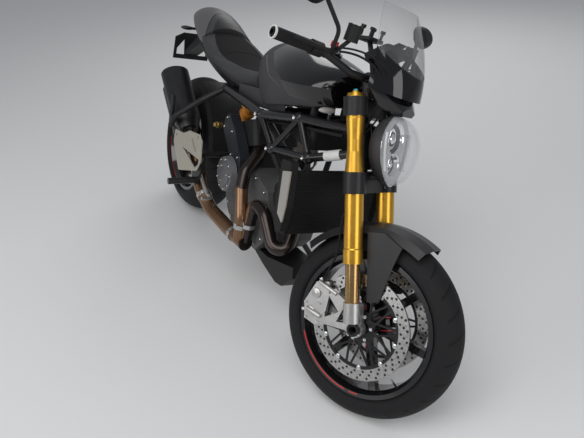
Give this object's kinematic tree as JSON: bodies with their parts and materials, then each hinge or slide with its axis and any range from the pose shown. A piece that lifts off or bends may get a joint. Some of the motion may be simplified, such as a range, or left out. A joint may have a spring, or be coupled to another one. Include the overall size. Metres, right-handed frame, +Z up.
{
  "type": "standard motorcycle",
  "caption": "Naked road motorcycle with a tube frame, V-twin engine, small screen and stacked silencers, leaning on its side stand with the steering turned to its stop.",
  "frame": {"origin": "on the floor, under the middle of the whole leaning motorcycle", "axes": "+X along the wheelbase towards the front, +Y towards the rider's left, +Z up; the motorcycle leans 16 degrees to its left on its side stand"},
  "size_m": [2.0829, 0.9158, 1.2969],
  "materials": {
    "trellis_frame": "satin black paint",
    "airbox": "matt black",
    "engine_block": "cast aluminium alloy, grey paint",
    "cylinders": "cast, dark grey",
    "engine_covers": "satin cast cover",
    "belt_covers": "satin grey",
    "fuel_tank": "gloss black",
    "filler_lid": "dark satin",
    "seat": "grained black cover",
    "seat_cowl": "matt grey",
    "tail_unit": "matt black",
    "rear_lamp": "red lens",
    "plate_bracket": "matt black",
    "indicators": "clear almond lens",
    "swingarm": "satin black paint",
    "swingarm_bridge": "satin black paint",
    "hub_carrier": "satin black",
    "chain": "oiled steel",
    "shock_absorber": "orange spring",
    "exhaust_pipes": "heat bronzed steel",
    "silencers": "satin black",
    "heel_guards": "satin",
    "footrests": "dark anodised",
    "foot_levers": "satin",
    "radiator": "matt black core",
    "radiator_covers": "satin silver",
    "belly_pan": "matt black",
    "rear_hugger": "matt black",
    "rear_tyre": "road tread",
    "rear_rim": "gloss black",
    "rear_disc": "ground steel",
    "rear_axle": "machined steel",
    "rear_sprocket": "oiled steel",
    "side_stand": "black paint",
    "fork_yokes": "black anodised",
    "bar_clamps": "black",
    "fork_tubes": "gold anodised",
    "fork_stanchions": "bronze coated",
    "fork_feet": "satin silver",
    "front_axle": "black hollow cap",
    "front_calipers": "satin silver",
    "headlight_bowl": "matt dark grey",
    "headlight_lens": "clear",
    "nose_cowl": "gloss black",
    "screen": "clear",
    "instruments": "matt black",
    "handlebar": "black",
    "grips": "moulded rubber",
    "hand_controls": "black",
    "mirrors": "black shell with mirror",
    "front_mudguard": "matt dark grey",
    "brake_hoses": "black hose",
    "front_tyre": "road tread",
    "front_rim": "gloss black",
    "front_discs": "ground steel"
  },
  "bodies": {
    "chassis": {"trellis_frame": "trellis_frame", "airbox": "airbox", "engine_block": "engine_block", "cylinders": "cylinders", "engine_covers": "engine_covers", "belt_covers": "belt_covers", "fuel_tank": "fuel_tank", "seat": "seat", "seat_cowl": "seat_cowl", "tail_unit": "tail_unit", "rear_lamp": "rear_lamp", "plate_bracket": "plate_bracket", "indicators": "indicators", "swingarm": "swingarm", "swingarm_bridge": "swingarm_bridge", "hub_carrier": "hub_carrier", "chain": "chain", "shock_absorber": "shock_absorber", "exhaust_pipes": "exhaust_pipes", "silencers": "silencers", "heel_guards": "heel_guards", "footrests": "footrests", "foot_levers": "foot_levers", "radiator": "radiator", "radiator_covers": "radiator_covers", "belly_pan": "belly_pan", "rear_hugger": "rear_hugger"},
    "front_wheel": {"front_tyre": "front_tyre", "front_rim": "front_rim", "front_discs": "front_discs"},
    "rear_wheel": {"rear_tyre": "rear_tyre", "rear_rim": "rear_rim", "rear_disc": "rear_disc", "rear_axle": "rear_axle", "rear_sprocket": "rear_sprocket"},
    "side_stand": {"side_stand": "side_stand"},
    "filler_lid": {"filler_lid": "filler_lid"},
    "fork": {"fork_yokes": "fork_yokes", "bar_clamps": "bar_clamps", "fork_tubes": "fork_tubes", "fork_stanchions": "fork_stanchions", "fork_feet": "fork_feet", "front_axle": "front_axle", "front_calipers": "front_calipers", "headlight_bowl": "headlight_bowl", "headlight_lens": "headlight_lens", "nose_cowl": "nose_cowl", "screen": "screen", "instruments": "instruments", "handlebar": "handlebar", "grips": "grips", "hand_controls": "hand_controls", "mirrors": "mirrors", "front_mudguard": "front_mudguard", "brake_hoses": "brake_hoses"}
  },
  "joints": [
    {"name": "steering", "type": "hinge", "parent": "chassis", "child": "fork", "pos_m": [0.51281, -0.00407, 0.75666], "axis": [-0.3909, 0.2537, 0.8848], "range_deg": [-50, 0]},
    {"name": "front_wheel_spin", "type": "hinge", "parent": "fork", "child": "front_wheel", "pos_m": [0.76045, -0.12378, 0.27905], "axis": [-0.389, 0.8257, -0.4086], "continuous": true},
    {"name": "rear_wheel_spin", "type": "hinge", "parent": "chassis", "child": "rear_wheel", "pos_m": [-0.72105, -0.13162, 0.31184], "axis": [0, 0.9613, -0.2756], "continuous": true},
    {"name": "side_stand_hinge", "type": "hinge", "parent": "chassis", "child": "side_stand", "pos_m": [-0.0413, -0.02096, 0.22612], "axis": [0.1733, 0.894, 0.4133], "range_deg": [0, 93]},
    {"name": "filler_lid_hinge", "type": "hinge", "parent": "chassis", "child": "filler_lid", "pos_m": [0.25439, 0.05717, 0.97024], "axis": [0, 0.9613, -0.2756], "range_deg": [0, 90]}
  ]
}
